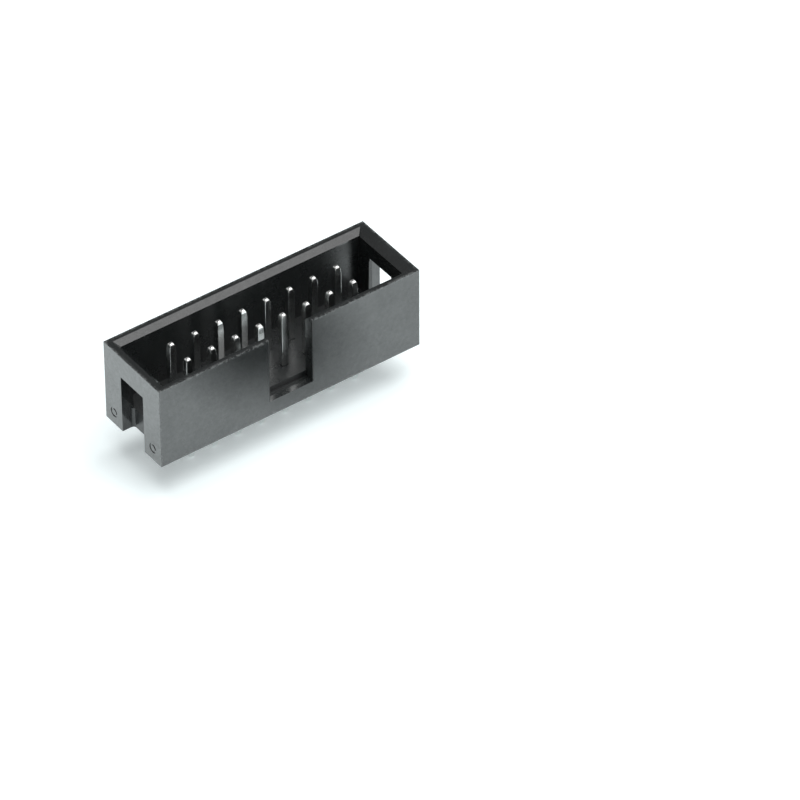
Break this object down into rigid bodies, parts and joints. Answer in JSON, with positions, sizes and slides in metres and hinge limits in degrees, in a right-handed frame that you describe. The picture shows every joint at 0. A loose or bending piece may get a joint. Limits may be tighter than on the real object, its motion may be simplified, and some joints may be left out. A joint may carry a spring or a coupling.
{
  "type": "idc box header",
  "caption": "Straight pin header for a ribbon-cable socket, in a shroud with a polarising notch and end slots, on square solder tails.",
  "frame": {"origin": "middle of the two-row contact grid, on the housing's underside, which seats on the board", "axes": "+X along the rows, -Y out of the long wall with the polarising notch, +Z out of the shroud's mouth, towards the mating socket"},
  "size_m": [0.028, 0.0086, 0.0121],
  "materials": {
    "moulded_plastic": "black glass-filled polyester as moulded, satin to glossy, with fine scuffs along its edges",
    "tinned_wire": "bright tin plate over brass wire, drawn along its length, coined at both ends"
  },
  "bodies": {
    "root": {"housing": "moulded_plastic", "pin_01": "tinned_wire", "pin_02": "tinned_wire", "pin_03": "tinned_wire", "pin_04": "tinned_wire", "pin_05": "tinned_wire", "pin_06": "tinned_wire", "pin_07": "tinned_wire", "pin_08": "tinned_wire", "pin_09": "tinned_wire", "pin_10": "tinned_wire", "pin_11": "tinned_wire", "pin_12": "tinned_wire", "pin_13": "tinned_wire", "pin_14": "tinned_wire", "pin_15": "tinned_wire", "pin_16": "tinned_wire"}
  },
  "joints": []
}
